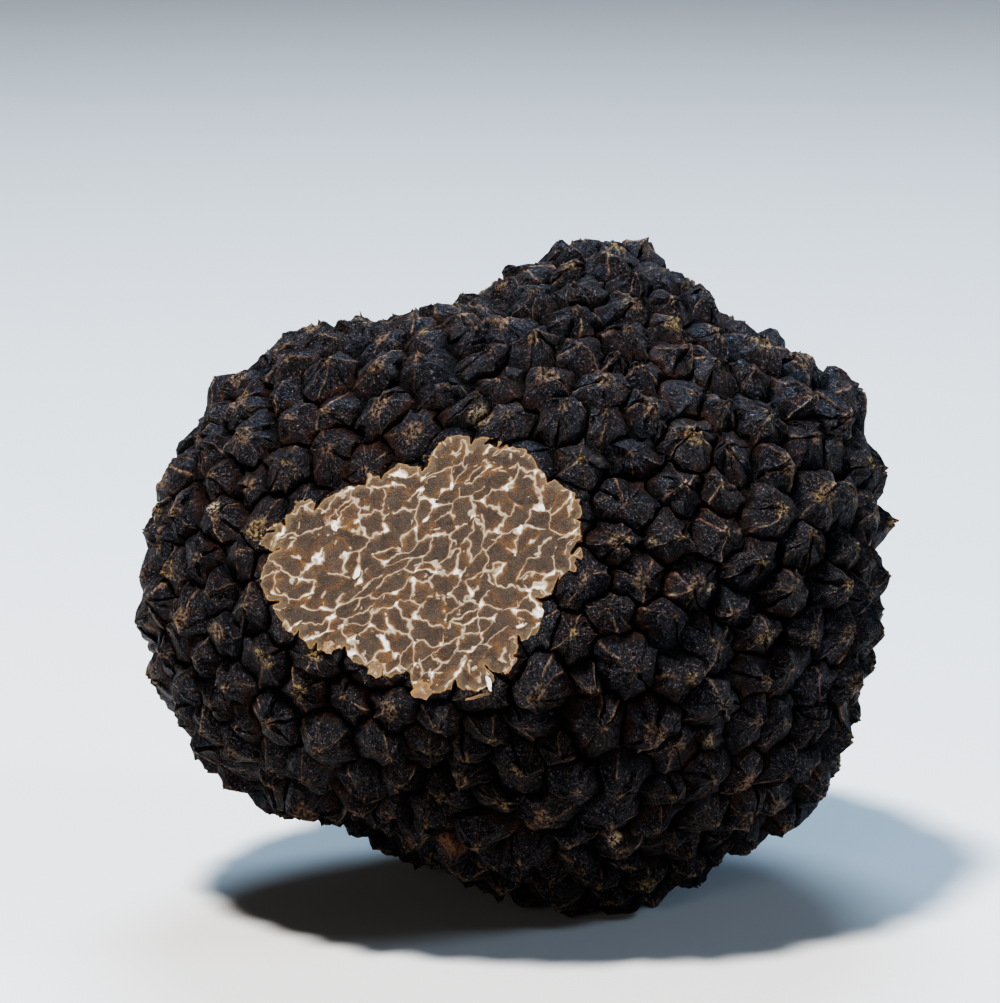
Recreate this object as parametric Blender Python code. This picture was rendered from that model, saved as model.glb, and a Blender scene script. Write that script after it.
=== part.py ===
"""Autumn truffle with one side sliced flat: one solid, warts and all.

Metres, +Z up. The truffle rests on z = 0 with its slice facing -Y, and the origin is the
middle of its footprint. Its skin is a net of angular warts. Each wart is a low pyramid over
a many-sided base, its corners meet those of its neighbours in the valleys, and some of its
spokes, from apex to corner, are open furrows.
"""

import math

import bmesh
import bpy
import numpy as np
from mathutils import Vector

MM = 0.001
SEED = 26

# The body under its warts: an ellipsoid about this centre
BODY_CENTRE = Vector((-0.52, -2.04, 29.9)) * MM
BODY_RADII = Vector((32.8, 28.4, 27.2)) * MM

# Lobes and dents: azimuth and elevation of the middle in degrees, rise in mm, spread in
# degrees. Azimuth 0 is +X, and -90 is the side with the slice.
LOBES = {
    "crown": (44, 67, 4.9, 17),
    "crown_front": (-10, 66, 1.6, 15),
    "left_of_crown": (150, 72, -3.4, 16),
    "shoulder_right": (2, 31, 3.5, 16),
    "shoulder_left": (-177, 36, 1.2, 14),
    "cheek_left": (-175, 5, 1.0, 28),
    "jaw_left": (-165, -30, 0.7, 12),
    "underside_left": (-152, -60, -4.0, 16),
    "foot": (-28, -66, 3.3, 17),
    "jaw_right": (-8, -36, 3.0, 14),
    "heel": (98, -64, 4.0, 20),
    "back_bulge": (55, -4, 6.0, 34),
    "back_dent": (150, 12, -3.0, 24),
    "front": (-102, 14, 1.4, 22),
    "front_right": (-50, 5, 0.8, 20),
}

# Folds: from and to as azimuth and elevation in degrees, depth in mm, half width in degrees
FOLDS = {
    "under_slice_left": ((-152, -50), (-107, -27), 1.8, 9),
    "under_slice": ((-107, -27), (-78, -10), 1.4, 8),
    "right_cheek": ((-56, 6), (-29, -15), 1.3, 8),
    "back": ((70, -30), (125, -8), 1.6, 9),
    "slice_brow": ((-129, 28), (-110, 34), 1.6, 7),
    "slice_sill": ((-82, 9), (-120, -4), 1.25, 8),
}

# The slice: a plane square to this direction, this far from the body's centre
SLICE_AZIMUTH, SLICE_ELEVATION = -104, 18
SLICE_DISTANCE = 26.9 * MM

# Clefts near the slice are filled by this share, up to this height, from this deep under the
# slice to where they are fullest
CLEFT_FILL = 0.7
CLEFT_FLOOR = 0.95 * MM
CLEFT_REACH = (-2.0 * MM, -0.4 * MM)

# Warts on skin deeper than this under the slice end this share of the way up to it
SPARED_DEPTH = 1.0 * MM
SPARED_SHARE = 0.88

# Warts
WART_COUNT = 640
WART_HEIGHT = 1.8 * MM
WART_SPACING = 4.75 * MM
SIZE_SPREAD = 0.27
RELAX_ROUNDS = 60
APEX_SKEW = 0.14
SHOULDER_GAIN = 1.5
FURROW_GAIN = 0.75
FURROW_SHARE = 0.28

SKIN_COLOUR = (0.022, 0.020, 0.021, 1)
FLESH_COLOUR = (0.30, 0.21, 0.13, 1)


def clear_scene():
    for thing in list(bpy.data.objects):
        bpy.data.objects.remove(thing)


def collection(name):
    made = bpy.data.collections.new(name)
    bpy.context.scene.collection.children.link(made)
    return made


def material(name, colour, roughness):
    made = bpy.data.materials.new(name)
    made.use_nodes = True
    shader = made.node_tree.nodes["Principled BSDF"]
    shader.inputs["Base Color"].default_value = colour
    shader.inputs["Roughness"].default_value = roughness
    shader.inputs["Metallic"].default_value = 0.0
    return made


def direction(azimuth, elevation):
    """Unit vector for an azimuth and an elevation in degrees."""
    turn, climb = math.radians(azimuth), math.radians(elevation)
    flat = math.cos(climb)
    return np.array([flat * math.cos(turn), flat * math.sin(turn), math.sin(climb)])


def unit(rows):
    return rows / np.linalg.norm(rows, axis=1, keepdims=True)


def angle_to_arc(ways, start, end):
    """Angle from each unit vector to the great-circle arc from start to end."""
    pole = np.cross(start, end)
    pole /= np.linalg.norm(pole)
    across = np.cross(pole, start)
    reach = math.acos(float(np.clip(start @ end, -1, 1)))
    along = np.clip(np.arctan2(ways @ across, ways @ start), 0, reach)
    nearest = np.outer(np.cos(along), start) + np.outer(np.sin(along), across)
    return np.arccos(np.clip((ways * nearest).sum(1), -1, 1))


def body_radius(ways):
    """Distance from the body's centre to its skin, along each unit vector."""
    radius = 1 / np.sqrt(((ways / np.array(BODY_RADII)) ** 2).sum(1))
    for azimuth, elevation, rise, spread in LOBES.values():
        away = 1 - ways @ direction(azimuth, elevation)
        radius += rise * MM * np.exp(-away / (1 - math.cos(math.radians(spread))))
    for start, end, depth, width in FOLDS.values():
        off = angle_to_arc(ways, direction(*start), direction(*end))
        radius -= depth * MM * np.exp(-((off / math.radians(width)) ** 2))
    return radius


def skin_points(ways):
    return ways * body_radius(ways)[:, None]


def skin_normals(ways):
    """Outward normals of the body, from points a small step to either side."""
    step = 0.01
    helper = np.where(np.abs(ways[:, 2:]) < 0.9, [[0.0, 0.0, 1.0]], [[1.0, 0.0, 0.0]])
    right = unit(np.cross(helper, ways))
    up = np.cross(ways, right)
    slopes = [
        skin_points(unit(ways + step * side)) - skin_points(unit(ways - step * side))
        for side in (right, up)
    ]
    return unit(np.cross(slopes[0], slopes[1]))


def wart_sizes(ways, rng):
    """Relative size of each wart: larger on the right front, smaller on crown and foot."""
    crown = np.exp((ways @ direction(*LOBES["crown"][:2]) - 1) / 0.12)
    foot = np.exp(-(1 + ways[:, 2]) / 0.3)
    place = 1 + 0.12 * ways @ direction(-50, 5) - 0.12 * crown - 0.08 * foot
    return place * rng.uniform(1 - SIZE_SPREAD, 1 + SIZE_SPREAD, len(ways))


def wart_seeds(rng):
    """Unit vectors to the warts: a spiral over the sphere, shaken, then pushed apart."""
    count = np.arange(WART_COUNT)
    height = 1 - 2 * (count + 0.5) / WART_COUNT
    turn = count * math.pi * (3 - math.sqrt(5))
    flat = np.sqrt(1 - height**2)
    ways = np.stack([flat * np.cos(turn), flat * np.sin(turn), height], 1)
    ways = unit(ways + rng.normal(0, 0.035, ways.shape))
    sizes = wart_sizes(ways, rng)
    for _ in range(RELAX_ROUNDS):
        points = skin_points(ways)
        gaps = points[:, None] - points[None]
        apart = np.linalg.norm(gaps, axis=2)
        np.fill_diagonal(apart, 1)
        wanted = WART_SPACING * (sizes[:, None] + sizes[None]) / 2
        push = np.clip(1 - apart / (1.25 * wanted), 0, None)
        np.fill_diagonal(push, 0)
        moves = (gaps / apart[..., None] * (push * wanted)[..., None]).sum(1)
        ways = unit(points + 0.3 * moves)
    return ways, sizes


def raised(ways, heights):
    """Points at these heights over the body's skin, in the truffle's frame. Beside the slice
    the clefts are shallower and the warts lower, so that it has one outline.
    """
    ground, outward = skin_points(ways), skin_normals(ways)
    facing = direction(SLICE_AZIMUTH, SLICE_ELEVATION)
    depth = SLICE_DISTANCE - ground @ facing
    room = SPARED_SHARE * depth / np.clip(outward @ facing, 0.3, 1)
    heights = np.where(depth > SPARED_DEPTH, np.minimum(heights, room), heights)
    points = ground + outward * heights[:, None]
    beyond = points @ facing - SLICE_DISTANCE
    near = np.clip((beyond - CLEFT_REACH[0]) / (CLEFT_REACH[1] - CLEFT_REACH[0]), 0, 1)
    near = near * near * (3 - 2 * near)
    heights = heights + CLEFT_FILL * near * np.clip(CLEFT_FLOOR - heights, 0, None)
    return ground + outward * heights[:, None] + np.array(BODY_CENTRE)


def warty_mesh(rng):
    """The whole skin, warts and all, as a closed bmesh."""
    seeds, sizes = wart_seeds(rng)
    skin = bmesh.new()
    level = skin.verts.layers.float.new("level")
    for way in seeds:
        skin.verts.new(way)
    bmesh.ops.convex_hull(skin, input=skin.verts[:])
    # Each hull triangle gets a corner of three warts at its middle. Turning the hull's
    # edges then leaves one fan of facets about every seed.
    struts = skin.edges[:]
    corners = set(bmesh.ops.poke(skin, faces=skin.faces[:])["verts"])
    bmesh.ops.rotate_edges(skin, edges=struts, use_ccw=False)
    skin.verts.ensure_lookup_table()
    spacing = WART_SPACING / BODY_RADII.z
    heights = WART_HEIGHT * sizes * rng.uniform(0.8, 1.15, WART_COUNT)
    for i in range(WART_COUNT):
        apex = skin.verts[i]
        apex[level] = heights[i]
        apex.co += Vector(rng.uniform(-1, 1, 3)) * APEX_SKEW * spacing
    spokes = [e for e in skin.edges if (e.verts[0] in corners) != (e.verts[1] in corners)]
    bends = bmesh.ops.bisect_edges(skin, edges=spokes, cuts=1)["geom_split"]
    bends = [v for v in bends if isinstance(v, bmesh.types.BMVert)]
    bmesh.ops.connect_verts(skin, verts=bends)
    furrowed = rng.random(len(bends)) < FURROW_SHARE
    for bend, open_spoke in zip(bends, furrowed):
        bend[level] *= FURROW_GAIN if open_spoke else SHOULDER_GAIN
    ways = unit(np.array([v.co for v in skin.verts]))
    levels = np.array([v[level] for v in skin.verts])
    for vert, place in zip(skin.verts, raised(ways, levels)):
        vert.co = place
    bmesh.ops.recalc_face_normals(skin, faces=skin.faces[:])
    return skin


def truffle(parts, skin_finish, flesh_finish):
    rng = np.random.default_rng(SEED)
    skin = warty_mesh(rng)
    mesh = bpy.data.meshes.new("truffle")
    skin.to_mesh(mesh)
    skin.free()
    made = bpy.data.objects.new("truffle", mesh)
    mesh.materials.append(skin_finish)
    mesh.materials.append(flesh_finish)
    parts.objects.link(made)
    return made


def cutter(name, cutters, side, centre, turn, finish):
    """A cube that takes a flat piece off the truffle."""
    bpy.ops.mesh.primitive_cube_add(size=side, location=centre)
    made = bpy.context.active_object
    made.name = name
    made.rotation_mode = "QUATERNION"
    made.rotation_quaternion = turn
    made.data.materials.append(finish)
    made.display_type = "WIRE"
    made.hide_render = True
    for owner in made.users_collection:
        owner.objects.unlink(made)
    cutters.objects.link(made)
    return made


def cut(thing, tool):
    """Takes the tool away from the thing, and gives the cut face the tool's material."""
    made = thing.modifiers.new(tool.name, "BOOLEAN")
    made.operation = "DIFFERENCE"
    made.solver = "EXACT"
    made.material_mode = "TRANSFER"
    made.object = tool


def build():
    clear_scene()
    parts, cutters = collection("truffle"), collection("cutters")
    skin_finish = material("skin", SKIN_COLOUR, 0.6)
    flesh_finish = material("flesh", FLESH_COLOUR, 0.5)
    body = truffle(parts, skin_finish, flesh_finish)
    side = 4 * BODY_RADII.x
    facing = Vector(direction(SLICE_AZIMUTH, SLICE_ELEVATION))
    knife = BODY_CENTRE + facing * (SLICE_DISTANCE + side / 2)
    turn = facing.to_track_quat("Z", "Y")
    cut(body, cutter("slice_cutter", cutters, side, knife, turn, flesh_finish))
    ground = Vector((0, 0, -side / 2))
    flat = Vector((0, 0, 1)).to_track_quat("Z", "Y")
    cut(body, cutter("rest_cutter", cutters, side, ground, flat, skin_finish))


build()
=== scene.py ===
"""Autumn truffle with one side sliced flat, dressed for a close studio picture."""

import math
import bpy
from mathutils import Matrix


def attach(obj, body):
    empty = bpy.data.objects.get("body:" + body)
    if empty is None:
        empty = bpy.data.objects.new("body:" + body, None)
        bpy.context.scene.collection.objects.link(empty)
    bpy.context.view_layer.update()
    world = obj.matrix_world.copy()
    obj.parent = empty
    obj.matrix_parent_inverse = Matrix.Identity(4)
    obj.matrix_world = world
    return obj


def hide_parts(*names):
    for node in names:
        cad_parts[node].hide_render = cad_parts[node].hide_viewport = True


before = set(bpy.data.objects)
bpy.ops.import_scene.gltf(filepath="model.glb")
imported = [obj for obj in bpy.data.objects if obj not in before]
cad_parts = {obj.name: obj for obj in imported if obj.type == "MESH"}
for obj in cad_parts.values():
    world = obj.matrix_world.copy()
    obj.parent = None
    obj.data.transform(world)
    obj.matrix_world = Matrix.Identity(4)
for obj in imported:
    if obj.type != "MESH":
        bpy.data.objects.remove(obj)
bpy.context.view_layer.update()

from types import SimpleNamespace

import bmesh
import bpy
import numpy as np
from mathutils import Vector, geometry, noise

MM = 0.001
SEED = 26

# The body under its warts, as in the solid: an ellipsoid about this centre
BODY_CENTRE = Vector((-0.52, -2.04, 29.9)) * MM
BODY_RADII = Vector((32.8, 28.4, 27.2)) * MM
MEAN_RADIUS = 30 * MM

# Lobes and dents: azimuth and elevation of the middle in degrees, rise in mm, spread in
# degrees. Azimuth 0 is +X, and -90 is the side with the slice.
LOBES = {
    "crown": (44, 67, 4.9, 17),
    "crown_front": (-10, 66, 1.6, 15),
    "left_of_crown": (150, 72, -3.4, 16),
    "shoulder_right": (2, 31, 3.5, 16),
    "shoulder_left": (-177, 36, 1.2, 14),
    "cheek_left": (-175, 5, 1.0, 28),
    "jaw_left": (-165, -30, 0.7, 12),
    "underside_left": (-152, -60, -4.0, 16),
    "foot": (-28, -66, 3.3, 17),
    "jaw_right": (-8, -36, 3.0, 14),
    "heel": (98, -64, 4.0, 20),
    "back_bulge": (55, -4, 6.0, 34),
    "back_dent": (150, 12, -3.0, 24),
    "front": (-102, 14, 1.4, 22),
    "front_right": (-50, 5, 0.8, 20),
}

# Folds: from and to as azimuth and elevation in degrees, depth in mm, half width in degrees
FOLDS = {
    "under_slice_left": ((-152, -50), (-107, -27), 1.8, 9),
    "under_slice": ((-107, -27), (-78, -10), 1.4, 8),
    "right_cheek": ((-56, 6), (-29, -15), 1.3, 8),
    "back": ((70, -30), (125, -8), 1.6, 9),
    "slice_brow": ((-129, 28), (-110, 34), 1.6, 7),
    "slice_sill": ((-82, 9), (-120, -4), 1.25, 8),
}

# The slice: a plane square to this direction, this far from the body's centre
SLICE_AZIMUTH, SLICE_ELEVATION = -104, 18
SLICE_DISTANCE = 26.9 * MM

# Warts, as in the solid
WART_COUNT = 640
WART_HEIGHT = 1.8 * MM
WART_SPACING = 4.75 * MM
SIZE_SPREAD = 0.27
HEIGHT_SPREAD = (0.8, 1.15)
SEED_SHAKE = 0.035
RELAX_ROUNDS = 60
PUSH_REACH, PUSH_SHARE = 1.25, 0.3
APEX_SKEW = 0.14

# Clefts: levels and their spread in mm, at corners and along borders, and how far a border
# bows and twists, as a share of the gap between its apexes
CORNER_LEVEL = (-0.40, 0.08)
BORDER_LEVEL = (-0.25, 0.04)
BORDER_WANDER = 0.09
BORDER_BOW, BORDER_TWIST = 0.045, 0.03
RIM_STEP = 0.54 * MM

# Fine shape of the warts: shares of their spacing or of a wart's own height
TIP_WANDER = 0.05
TIP_GAIN = 1.18
TIP_BLUNT = 0.28
TIP_DROP = (-0.18, -0.03)
TIP_ROUGH = 0.055
FACET_FALL = (0.62, 0.98)
FALL_SPREAD = (0.78, 1.18)
FACET_DENT = (0.028, 0.04)
RIDGE_LOSS, EXTRA_RIDGES, WIDEST_FACET = 0.45, 0.18, 138
RIDGE_CREST = (0.015, 0.055)
SHOULDER = (12, 22)
SHOULDER_SPREAD = (0.75, 1.3)
GRAIN, FINE_GRAIN = 0.045, 0.02

# Cracks: odds of 0 to 5 on a wart, depth, where on the spoke they open, width, height of
# their lips, and the lift of the skin between two cracks or on a whole wart
CRACK_ODDS = (0.20, 0.32, 0.26, 0.14, 0.06, 0.02)
CRACK_DEPTH = (0.55, 1.05)
CRACK_STARTS = (0.0, 0.15, 0.35)
CRACK_GAPE = (0.2, 1.0)
CRACK_LIP = (0.0, 0.06)
CRACKED_LIFT, WHOLE_LIFT = (-0.28, 0.03), (-0.14, 0.03)

# Rings of a wart, as shares of the way out. Half rings use every second spoke.
HALF_RINGS = (0.13, 0.30)
FULL_RINGS = (0.46, 0.63, 0.79, 0.925)

# One wart in so many has a tip that is worn wider
WIDE_TIP_EVERY = 3

# Clefts near the slice are filled by this share, up to this height, between these depths
CLEFT_FILL = 0.85
CLEFT_FLOOR = 0.95 * MM
CLEFT_REACH = (-2.0 * MM, -0.4 * MM)

# Warts deeper than this under the slice end at this share of the way up to it
SPARED_DEPTH = 1.0 * MM
SPARED_SHARE = 0.84

# Wobble of the skin: scale of the noise, reach in mm, shift. Less of it near the slice.
WOBBLES = ((0.55, 0.50, (0, 0, 0)), (1.5, 0.20, (31, 7, 11)))
CALM_SHARE, CALM_REACH = 0.6, 1.5 * MM

# Flesh: spacing of its points in mm, its seed, and its veins' spacing, stretch and slant
FLESH_STEP = 0.078
FLESH_SEED = 5
VEIN_SPACING = 1.62
VEIN_STRETCH = 1.45
VEIN_ANGLE = 42

# Bends of the veins: wavelength in mm, number of waves, reach in mm
BENDS = ((11.0, 7, 0.34), (3.4, 9, 0.18), (1.3, 11, 0.080), (0.6, 13, 0.034))

# Veins, and twigs between them: share of borders left bare, half width from and to in mm,
# share of corners with a white knot
VEINS = (0.20, (0.040, 0.066), 0.27)
TWIGS = (0.76, (0.055, 0.075), 0.05)
TWIG_SPACING = 1.3
TWIG_SHIFT = 7.3
KNOT_SIZE = (0.08, 0.20)
KNOT_TAPER, TAPER_REACH = 0.125, 0.45
BROKEN_SHARE, BROKEN_DEPTH = 0.22, 0.30
NO_VEIN = -0.35
FAR = 9.0

# The flesh as a plate, in mm: how far its front stands out and its back lies in
PLATE_FRONT, PLATE_BACK = 0.05, -0.15

# Torn flakes on the slice's edge: angle round the slice in degrees, how far past the edge,
# width, height and curl in mm, and how white it is
EDGE_FLAKES = {
    "left": (-134, -0.1, 1.4, 1.1, 0.35, 0.04),
    "lower_left": (-119, 0.0, 1.6, 1.5, 0.55, 0.02),
    "lowest": (-97, 0.2, 1.9, 1.8, 0.30, -0.02),
    "lower_right": (-55, 0.0, 0.9, 0.7, 0.30, 0.03),
    "shard": (-64, 0.4, 0.5, 1.5, 0.80, 0.2),
    "strip": (-74, 0.5, 2.6, 0.35, 0.15, -0.05),
}
FLAKE_CORNERS = 18
FLAKE_RINGS = (0.0, 0.55, 1.0)
FLAKE_LIFT = 0.08
FLAKE_HALF = 0.09
FLAKE_ROUGH = 0.03

# Pale crusts on warts: place and reach in mm
PALE_CRUSTS = (
    ((-3.4, -22.6, 49.7), 1.45),
    ((-27.4, -17.0, 40.4), 0.9),
    ((8.7, -21.9, 10.9), 0.9),
    ((16.9, -26.2, 34.9), 0.7),
    ((11.9, -27.6, 39.5), 0.6),
)

# Russet hollows under the slice: place and reach in mm
RUSSET = (((-5.6, -21.6, 10.9), 2.3), ((0.5, -24.5, 12.4), 1.7))

# Colours of the skin
SKIN = {
    # The blue in these two blacks is painted sheen; the skin's own colour is near black.
    "black": (0.0012, 0.0026, 0.009),
    "blue_sheen_black": (0.0052, 0.0078, 0.018),
    "brown_black": (0.027, 0.0122, 0.006),
    # painted glints: pale blue-grey specks on the facets
    "grit": (0.15, 0.162, 0.23),
    "streak": (0.16, 0.08, 0.038),
    "worn_brown": (0.26, 0.12, 0.052),
    "worn_pale": (0.56, 0.39, 0.25),
    "tip_tan": (0.4, 0.25, 0.14),
    "tip_ochre": (0.54, 0.38, 0.17),
    "russet": (0.32, 0.135, 0.05),
    "crust": (0.66, 0.52, 0.34),
    "soil": (0.11, 0.038, 0.014),
    "fleck": (0.34, 0.285, 0.255),
    # painted shade: near black for the clefts between warts and inside cracks
    "cleft_shade": (0.0022, 0.0018, 0.0016),
    # pale tan specks, partly real grains and partly painted glints
    "speck_and_glint": (0.42, 0.3, 0.2),
}

# Colours of the flesh
FLESH = {
    "dark_cell": (0.04, 0.0272, 0.02),
    "light_cell": (0.09, 0.0635, 0.0475),
    "ochre": (0.2, 0.092, 0.027),
    "light_grain": (0.175, 0.12, 0.08),
    "dark_grain": (0.022, 0.013, 0.009),
    "glassy": (0.16, 0.116, 0.07),
    "vein_side": (0.24, 0.145, 0.075),
    "vein": (0.4, 0.33, 0.245),
    "white": (0.78, 0.765, 0.735),
    "fleck": (0.36, 0.29, 0.21),
    "golden": (0.36, 0.2, 0.065),
    "rind": (0.05, 0.02, 0.008),
}

# Relief in the materials: depth of the bump in metres
SKIN_BUMP, FLESH_BUMP = 0.00046, 0.00010

# Camera: elevation, distance, width of the view at the truffle and of the picture in pixels,
# and how far right and down of the picture's middle the truffle's centre is, in pixels
CAMERA_ELEVATION = 11.5
CAMERA_DISTANCE = 0.480
VIEW_WIDTH = 0.0933
PICTURE_WIDTH = 1000
TRUFFLE_RIGHT, TRUFFLE_DOWN = 12, 83.5
SENSOR_WIDTH = 36

# Lights: place and width in metres, power in watts, colour
LIGHTS = {
    "key": ((-0.17, -0.20, 0.75), 0.12, 12.4, (1.0, 0.985, 0.965)),
    "front": ((-0.30, -0.8, 0.22), 0.26, 2.2, (1.0, 0.97, 0.94)),
    "side": ((0.7, -0.15, 0.35), 0.20, 3.6, (0.58, 0.77, 1.0)),
    "back": ((0.02, 0.42, 0.68), 0.34, 6.2, (0.52, 0.75, 1.0)),
}
LIT_SPOT = Vector((0, 0, 0.03))
WORLD_COLOUR, WORLD_STRENGTH = (0.8, 0.85, 0.9), 0.06
FLOOR_SIZE = 6
FLOOR_COLOUR, FLOOR_ROUGHNESS = (0.62, 0.605, 0.59), 0.85
EXPOSURE = -0.45


def direction(azimuth, elevation):
    """Unit vector for an azimuth and an elevation in degrees."""
    turn, climb = math.radians(azimuth), math.radians(elevation)
    flat = math.cos(climb)
    return np.array([flat * math.cos(turn), flat * math.sin(turn), math.sin(climb)])


def unit(rows):
    """Each row at length 1."""
    return rows / np.linalg.norm(rows, axis=1, keepdims=True)


def smooth_step(low, high, values):
    """0 at low, 1 at high, and a smooth rise between them."""
    x = np.clip((values - low) / (high - low), 0, 1)
    return x * x * (3 - 2 * x)


SLICE_WAY = Vector(direction(SLICE_AZIMUTH, SLICE_ELEVATION))
SLICE_CENTRE = BODY_CENTRE + SLICE_WAY * SLICE_DISTANCE
SLICE_RIGHT = Vector((0, 0, 1)).cross(SLICE_WAY).normalized()
FACING, RIGHT, UP = (np.array(v) for v in (SLICE_WAY, SLICE_RIGHT, SLICE_WAY.cross(SLICE_RIGHT)))
DOWN = Vector((0, 0, -1))


def new_mesh(name, places, faces, values):
    """A mesh with a number for each point under each of the values' names."""
    mesh = bpy.data.meshes.new(name)
    mesh.from_pydata(np.array(places).tolist(), [], faces)
    for kind, numbers in values.items():
        layer = mesh.attributes.new(kind, "FLOAT", "POINT")
        layer.data.foreach_set("value", np.array(numbers, np.float32))
    return mesh


def add_piece(name, mesh, sharp_from):
    """Puts a mesh in the scene, smooth but for edges sharper than this angle."""
    piece = bpy.data.objects.new(name, mesh)
    bpy.context.scene.collection.objects.link(piece)
    mesh.shade_smooth()
    mesh.set_sharp_from_angle(angle=math.radians(sharp_from))
    return piece


# The body and its seeds, by the same rules as the solid


def angle_to_arc(ways, start, end):
    """Angle from each unit vector to the great-circle arc from start to end."""
    pole = np.cross(start, end)
    pole /= np.linalg.norm(pole)
    across = np.cross(pole, start)
    reach = math.acos(float(np.clip(start @ end, -1, 1)))
    along = np.clip(np.arctan2(ways @ across, ways @ start), 0, reach)
    nearest = np.outer(np.cos(along), start) + np.outer(np.sin(along), across)
    return np.arccos(np.clip((ways * nearest).sum(1), -1, 1))


def skin_points(ways):
    """Points of the body, from its centre, along each unit vector."""
    radius = 1 / np.sqrt(((ways / np.array(BODY_RADII)) ** 2).sum(1))
    for azimuth, elevation, rise, spread in LOBES.values():
        away = 1 - ways @ direction(azimuth, elevation)
        radius += rise * MM * np.exp(-away / (1 - math.cos(math.radians(spread))))
    for start, end, depth, width in FOLDS.values():
        off = angle_to_arc(ways, direction(*start), direction(*end))
        radius -= depth * MM * np.exp(-((off / math.radians(width)) ** 2))
    return ways * radius[:, None]


def skin_normals(ways):
    """Outward normals of the body, from points to either side."""
    step = 0.01
    helper = np.where(np.abs(ways[:, 2:]) < 0.9, [[0.0, 0.0, 1.0]], [[1.0, 0.0, 0.0]])
    right = unit(np.cross(helper, ways))
    up = np.cross(ways, right)
    slopes = [
        skin_points(unit(ways + step * side)) - skin_points(unit(ways - step * side))
        for side in (right, up)
    ]
    return unit(np.cross(slopes[0], slopes[1]))


def wart_sizes(ways, rng):
    """Relative sizes: larger on the right front, smaller on crown and foot."""
    crown = np.exp((ways @ direction(*LOBES["crown"][:2]) - 1) / 0.12)
    foot = np.exp(-(1 + ways[:, 2]) / 0.3)
    right_front = ways @ direction(*LOBES["front_right"][:2])
    place = 1 + 0.12 * right_front - 0.12 * crown - 0.08 * foot
    return place * rng.uniform(1 - SIZE_SPREAD, 1 + SIZE_SPREAD, len(ways))


def wart_seeds(rng):
    """Unit vectors to the warts: a spiral, shaken, then pushed apart."""
    count = np.arange(WART_COUNT)
    height = 1 - 2 * (count + 0.5) / WART_COUNT
    turn = count * math.pi * (3 - math.sqrt(5))
    flat = np.sqrt(1 - height**2)
    ways = np.stack([flat * np.cos(turn), flat * np.sin(turn), height], 1)
    ways = unit(ways + rng.normal(0, SEED_SHAKE, ways.shape))
    sizes = wart_sizes(ways, rng)
    for _ in range(RELAX_ROUNDS):
        points = skin_points(ways)
        gaps = points[:, None] - points[None]
        apart = np.linalg.norm(gaps, axis=2)
        np.fill_diagonal(apart, 1)
        wanted = WART_SPACING * (sizes[:, None] + sizes[None]) / 2
        push = np.clip(1 - apart / (PUSH_REACH * wanted), 0, None)
        np.fill_diagonal(push, 0)
        moves = (gaps / apart[..., None] * (push * wanted)[..., None]).sum(1)
        ways = unit(points + PUSH_SHARE * moves)
    return ways, sizes


def hull_triangles(ways):
    """Triangles between neighbouring seeds, each turned outwards."""
    net = bmesh.new()
    for way in ways:
        net.verts.new(way)
    bmesh.ops.convex_hull(net, input=net.verts[:])
    net.verts.index_update()
    rows = np.array([[v.index for v in face.verts] for face in net.faces])
    net.free()
    a, b, c = (ways[rows[:, k]] for k in range(3))
    inward = (np.cross(b - a, c - a) * a).sum(1) < 0
    rows[inward] = rows[inward][:, ::-1]
    return rows


def wart_corners(ways, rows):
    """Where the three warts of each triangle meet: its edge-weighted middle."""
    a, b, c = (ways[rows[:, k]] for k in range(3))
    ab, bc, ca = (np.linalg.norm(q - p, axis=1) for p, q in ((a, b), (b, c), (c, a)))
    weights = np.stack([ca + ab, ab + bc, bc + ca], 1)[..., None]
    return (np.stack([a, b, c], 1) * weights).sum(1) / weights.sum(1)


# The net of the skin


class Net:
    """Vertices, faces and what each vertex is, for the whole warty skin."""

    def __init__(self):
        self.raw, self.height, self.wart, self.faces, self.stripe = [], [], [], [], []
        self.marks = {"relief": [], "ridge": [], "crack": [], "tip": []}

    def add(self, raw, height, wart=-1, **marks):
        """A vertex, of a wart or, with -1, of the clefts between them."""
        self.raw.append(raw)
        self.height.append(height)
        self.wart.append(wart)
        for name, values in self.marks.items():
            values.append(marks.get(name, 0.0))
        return len(self.raw) - 1

    def face(self, wart, corners):
        """A face of a wart. Each corner is a vertex, its spoke and its share outwards."""
        self.faces.append(tuple(vert for vert, _, _ in corners))
        for _, spoke, share in corners:
            self.stripe.append((spoke * 0.5 + wart * 7.31, share * 2.0, wart * 0.137))


def border_line(net, start, end, gap, rng):
    """Vertices between two corners, on a line that bows, twists and wanders."""
    length = np.linalg.norm(end - start) * MEAN_RADIUS
    steps = 2 * max(1, round(length / (2 * RIM_STEP)))
    across = gap * rng.normal(0, BORDER_BOW)
    twist = gap * rng.normal(0, BORDER_TWIST)
    level = rng.normal(0, BORDER_WANDER) * MM
    verts = []
    for k in range(1, steps):
        s = k / steps
        bow = math.sin(math.pi * s)
        place = start + (end - start) * s + across * bow + twist * math.sin(2 * math.pi * s)
        verts.append(net.add(place, level * bow + rng.normal(*BORDER_LEVEL) * MM))
    return verts


def border_ring(i, neighbours, borders, rows, owner):
    """Vertices round a wart, and each facet's first one and its number of steps."""
    ring, facets = [], []
    j = neighbours[0]
    for _ in neighbours:
        line = borders[i, j] if i < j else borders[j, i][::-1]
        facets.append((len(ring), len(line) - 1))
        ring.extend(line[:-1])
        following = list(rows[owner[i, j]])
        j = following[(following.index(i) + 2) % 3]
    return ring, facets


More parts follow.
